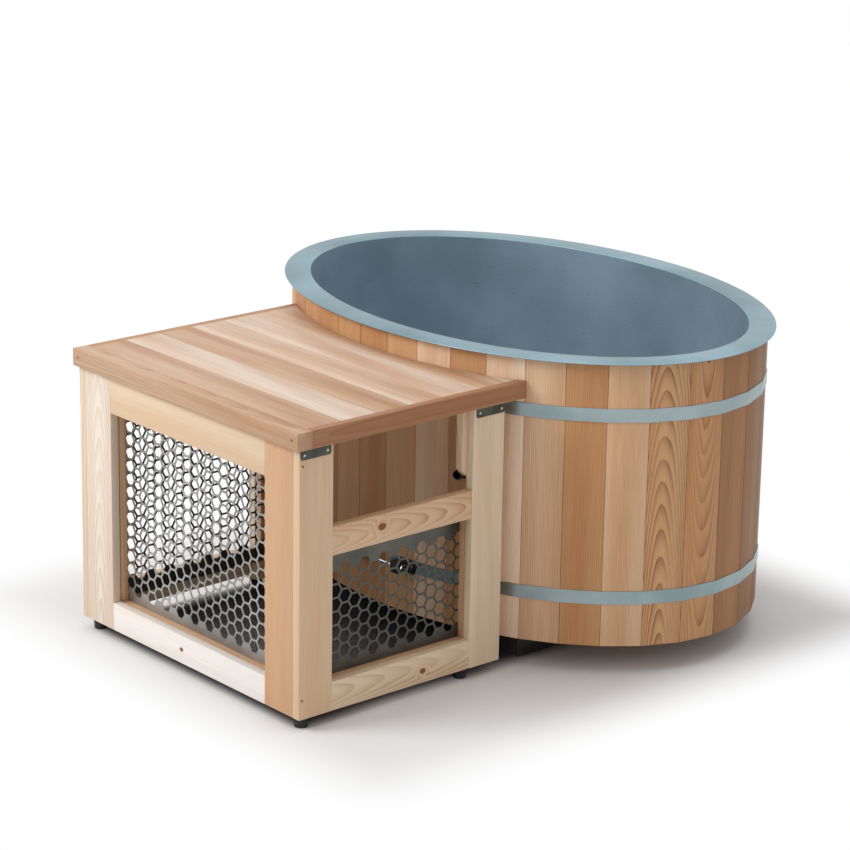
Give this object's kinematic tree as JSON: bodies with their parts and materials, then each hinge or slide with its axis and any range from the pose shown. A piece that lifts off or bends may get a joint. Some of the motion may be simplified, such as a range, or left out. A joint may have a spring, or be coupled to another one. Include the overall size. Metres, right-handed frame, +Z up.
{
  "type": "cold plunge tub",
  "caption": "Oval timber cold plunge tub with a steel liner, steel hoops and a boarded service cabinet with hex-hole panels",
  "frame": {"origin": "on the floor under the middle of the tub, on the plinth's cross member", "axes": "+X along the tub's long axis towards the cabinet's right end, +Y from the cabinet towards the tub, +Z up"},
  "size_m": [1.348, 1.4675, 0.722],
  "materials": {
    "red_cedar": "oiled softwood, orange to brown, strongly grained",
    "pale_cedar": "clear-finished pale softwood",
    "floor_timber": "unfinished softwood",
    "liner_steel": "satin stainless steel",
    "hoop_steel": "satin stainless steel",
    "bolt_steel": "bright stainless steel",
    "black_casting": "black satin paint",
    "black_steel": "black powder coat",
    "black_plastic": "black moulded plastic",
    "perforated_steel": "dull stainless sheet",
    "bracket_steel": "dark grey-green paint"
  },
  "bodies": {
    "tub": {"plinth": "black_steel", "floor_boards": "floor_timber", "staves": "red_cedar", "liner_wall": "liner_steel", "liner_floor": "liner_steel", "rim_flange": "liner_steel", "upper_hoop": "hoop_steel", "lower_hoop": "hoop_steel", "upper_hoop_lugs": "black_casting", "lower_hoop_lugs": "black_casting", "lug_bolts": "black_casting", "upper_draw_rod": "bolt_steel", "lower_draw_rod": "bolt_steel", "lock_nuts": "bolt_steel", "rod_caps": "black_plastic", "return_port": "black_plastic", "suction_port": "black_plastic", "port_nuts": "black_plastic", "drain_body": "liner_steel", "drain_nut": "black_plastic"},
    "cabinet": {"corner_brackets": "bracket_steel", "corner_posts": "pale_cedar", "foot_blocks": "pale_cedar", "front_beads": "pale_cedar", "front_bottom_rail": "pale_cedar", "front_edging": "red_cedar", "front_left_stile": "pale_cedar", "front_right_stile": "pale_cedar", "front_sheet": "perforated_steel", "front_top_rail": "pale_cedar", "left_beads": "pale_cedar", "left_bottom_rail": "pale_cedar", "left_edging": "red_cedar", "left_front_stile": "pale_cedar", "left_rear_stile": "pale_cedar", "left_sheet": "perforated_steel", "left_top_rail": "pale_cedar", "right_beads": "pale_cedar", "right_bottom_rail": "pale_cedar", "right_corner_block": "pale_cedar", "right_edging": "red_cedar", "right_front_stile": "pale_cedar", "right_mid_rail": "pale_cedar", "right_rear_stile": "pale_cedar", "right_sheet": "perforated_steel", "top_battens": "pale_cedar", "top_plank_1": "red_cedar", "top_plank_2": "red_cedar", "top_plank_3": "red_cedar", "top_plank_4": "red_cedar", "top_plank_5": "red_cedar", "top_plank_6": "red_cedar", "top_plank_7": "red_cedar"},
    "upper_nut": {"upper_draw_nut": "bolt_steel"},
    "lower_nut": {"lower_draw_nut": "bolt_steel"},
    "plug": {"drain_plug": "black_plastic"},
    "front_right_foot_body": {"front_right_foot": "black_plastic"},
    "front_left_foot_body": {"front_left_foot": "black_plastic"},
    "rear_right_foot_body": {"rear_right_foot": "black_plastic"},
    "rear_left_foot_body": {"rear_left_foot": "black_plastic"}
  },
  "joints": [
    {"name": "cabinet_pull_out", "type": "slide", "parent": "tub", "child": "cabinet", "axis": [0, -1, 0], "range_m": [0, 0.4]},
    {"name": "upper_draw_nut_turn", "type": "hinge", "parent": "tub", "child": "upper_nut", "pos_m": [0.04731, -0.47484, 0.601], "axis": [0.9988, 0.0494, 0], "range_deg": [-360, 360]},
    {"name": "lower_draw_nut_turn", "type": "hinge", "parent": "tub", "child": "lower_nut", "pos_m": [0.04731, -0.47484, 0.1785], "axis": [0.9988, 0.0494, 0], "range_deg": [-360, 360]},
    {"name": "drain_plug_lift", "type": "slide", "parent": "tub", "child": "plug", "axis": [0, 0, 1], "range_m": [0, 0.06]},
    {"name": "front_right_foot_level", "type": "slide", "parent": "cabinet", "child": "front_right_foot_body", "axis": [0, 0, 1], "range_m": [-0.012, 0]},
    {"name": "front_left_foot_level", "type": "slide", "parent": "cabinet", "child": "front_left_foot_body", "axis": [0, 0, 1], "range_m": [-0.012, 0]},
    {"name": "rear_right_foot_level", "type": "slide", "parent": "cabinet", "child": "rear_right_foot_body", "axis": [0, 0, 1], "range_m": [-0.012, 0]},
    {"name": "rear_left_foot_level", "type": "slide", "parent": "cabinet", "child": "rear_left_foot_body", "axis": [0, 0, 1], "range_m": [-0.012, 0]}
  ]
}
